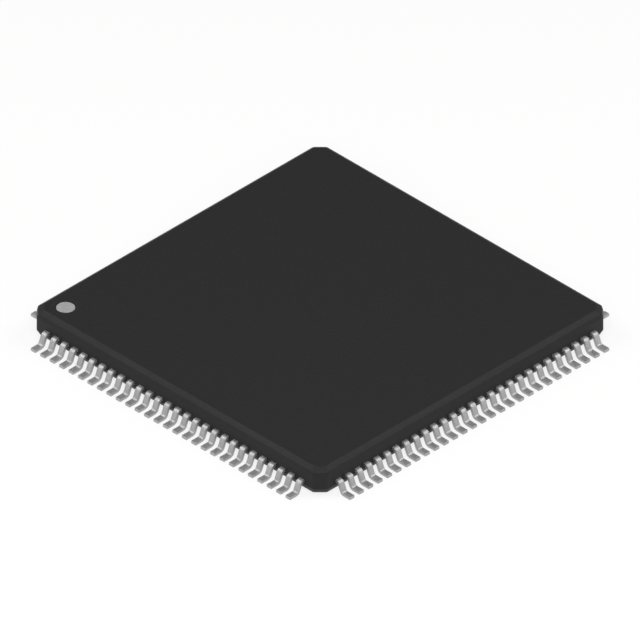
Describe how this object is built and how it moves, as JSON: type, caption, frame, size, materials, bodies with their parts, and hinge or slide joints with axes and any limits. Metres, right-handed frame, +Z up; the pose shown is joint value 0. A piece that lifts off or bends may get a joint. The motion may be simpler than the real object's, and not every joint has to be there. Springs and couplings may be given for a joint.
{
  "type": "microcontroller",
  "caption": "Square black surface-mount microcontroller in a thin moulded package, with gull-wing leads on all four sides and a round pin 1 mark at one corner.",
  "frame": {"origin": "centre of the seating plane, which the undersides of the feet touch", "axes": "+Z up, away from the board; X and Y along the sides; the pin 1 mark is at the -X, +Y corner and lead 1 is on the -X side at its +Y end"},
  "size_m": [0.022, 0.022, 0.0016],
  "materials": {
    "moulding_compound": "black silica-filled epoxy, fine matte texture from a spark-eroded mould",
    "tin_plating": "matte tin electroplated on copper alloy",
    "frame_copper": "bare rolled copper alloy, hidden inside the body",
    "die_attach_adhesive": "cured silver-filled epoxy, hidden inside the body",
    "silicon": "polished silicon, hidden inside the body",
    "marking_ink": "flat grey printed ink on the floor of the pin 1 dimple",
    "bond_wire_gold": "drawn gold wire, hidden inside the body; the visual model has it, the solids do not"
  },
  "bodies": {
    "root": {"mould_body": "moulding_compound", "die_pad": "frame_copper", "die_attach": "die_attach_adhesive", "die": "silicon", "pin_1_mark": "marking_ink", "leads_1_to_4": "tin_plating", "leads_5_to_8": "tin_plating", "leads_9_to_12": "tin_plating", "leads_13_to_16": "tin_plating", "leads_17_to_20": "tin_plating", "leads_21_to_24": "tin_plating", "leads_25_to_28": "tin_plating", "leads_29_to_32": "tin_plating", "leads_33_to_36": "tin_plating", "leads_37_to_40": "tin_plating", "leads_41_to_44": "tin_plating", "leads_45_to_48": "tin_plating", "leads_49_to_52": "tin_plating", "leads_53_to_56": "tin_plating", "leads_57_to_60": "tin_plating", "leads_61_to_64": "tin_plating", "leads_65_to_68": "tin_plating", "leads_69_to_72": "tin_plating", "leads_73_to_76": "tin_plating", "leads_77_to_80": "tin_plating", "leads_81_to_84": "tin_plating", "leads_85_to_88": "tin_plating", "leads_89_to_92": "tin_plating", "leads_93_to_96": "tin_plating", "leads_97_to_100": "tin_plating", "leads_101_to_104": "tin_plating", "leads_105_to_108": "tin_plating", "leads_109_to_112": "tin_plating"}
  },
  "joints": []
}
